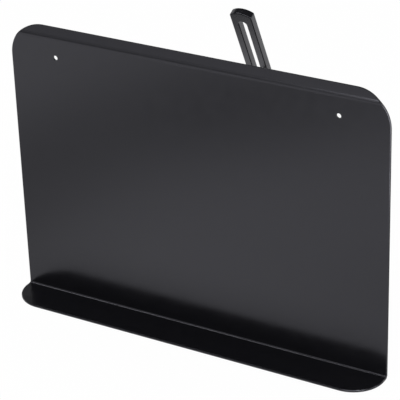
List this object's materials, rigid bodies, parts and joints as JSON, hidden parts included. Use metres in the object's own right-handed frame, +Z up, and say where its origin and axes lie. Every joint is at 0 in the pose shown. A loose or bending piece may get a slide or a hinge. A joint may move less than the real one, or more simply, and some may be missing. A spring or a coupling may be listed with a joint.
{
  "type": "sheet music holder",
  "caption": "Folded sheet-steel music desk with a ledge, on a clamped tilt hinge and an arm whose saddle slides on a slotted flat bar that props it up.",
  "frame": {"origin": "on the surface that the holder stands on, at the middle of its bounding box", "axes": "+X to the reader's right, +Y from the reader towards the back, +Z up"},
  "size_m": [0.491, 0.3482, 0.369],
  "materials": {
    "powder_coat": "fine-grained satin black powder coat on steel",
    "zinc": "bright zinc plating",
    "knob_plastic": "fine-grained black moulded plastic",
    "nylon": "smooth black nylon",
    "brass": "turned brass",
    "rubber": "matt black rubber"
  },
  "bodies": {
    "bar": {"slotted_bar": "powder_coat", "bar_foot": "rubber"},
    "carriage": {"carrier_arm": "powder_coat", "arm_bush": "nylon", "friction_washers": "nylon", "saddle": "powder_coat", "saddle_liner": "nylon", "clamp_bolt": "zinc", "pressure_plate": "zinc", "clamp_washer": "zinc"},
    "clamp_knob": {"clamp_knob": "knob_plastic", "clamp_knob_insert": "brass", "clamp_knob_cap": "knob_plastic"},
    "desk": {"desk_plate": "powder_coat", "left_hinge_ear": "powder_coat", "right_hinge_ear": "powder_coat", "tilt_bolt": "zinc", "tilt_washer": "zinc"},
    "tilt_knob": {"tilt_knob": "knob_plastic", "tilt_knob_insert": "brass", "tilt_knob_cap": "knob_plastic"}
  },
  "joints": [
    {"name": "height_slide", "type": "slide", "parent": "bar", "child": "carriage", "axis": [0, -0.4305, 0.9026], "range_m": [-0.089, 0.149]},
    {"name": "desk_tilt", "type": "hinge", "parent": "carriage", "child": "desk", "pos_m": [0, -0.09514, 0.172], "axis": [-1, 0, 0], "range_deg": [-25, 35]},
    {"name": "clamp_knob_turn", "type": "hinge", "parent": "carriage", "child": "clamp_knob", "pos_m": [0, 0.07361, 0.21925], "axis": [0, 0.9026, 0.4305], "continuous": true},
    {"name": "tilt_knob_turn", "type": "hinge", "parent": "desk", "child": "tilt_knob", "pos_m": [0.0105, -0.09514, 0.172], "axis": [1, 0, 0], "continuous": true}
  ]
}
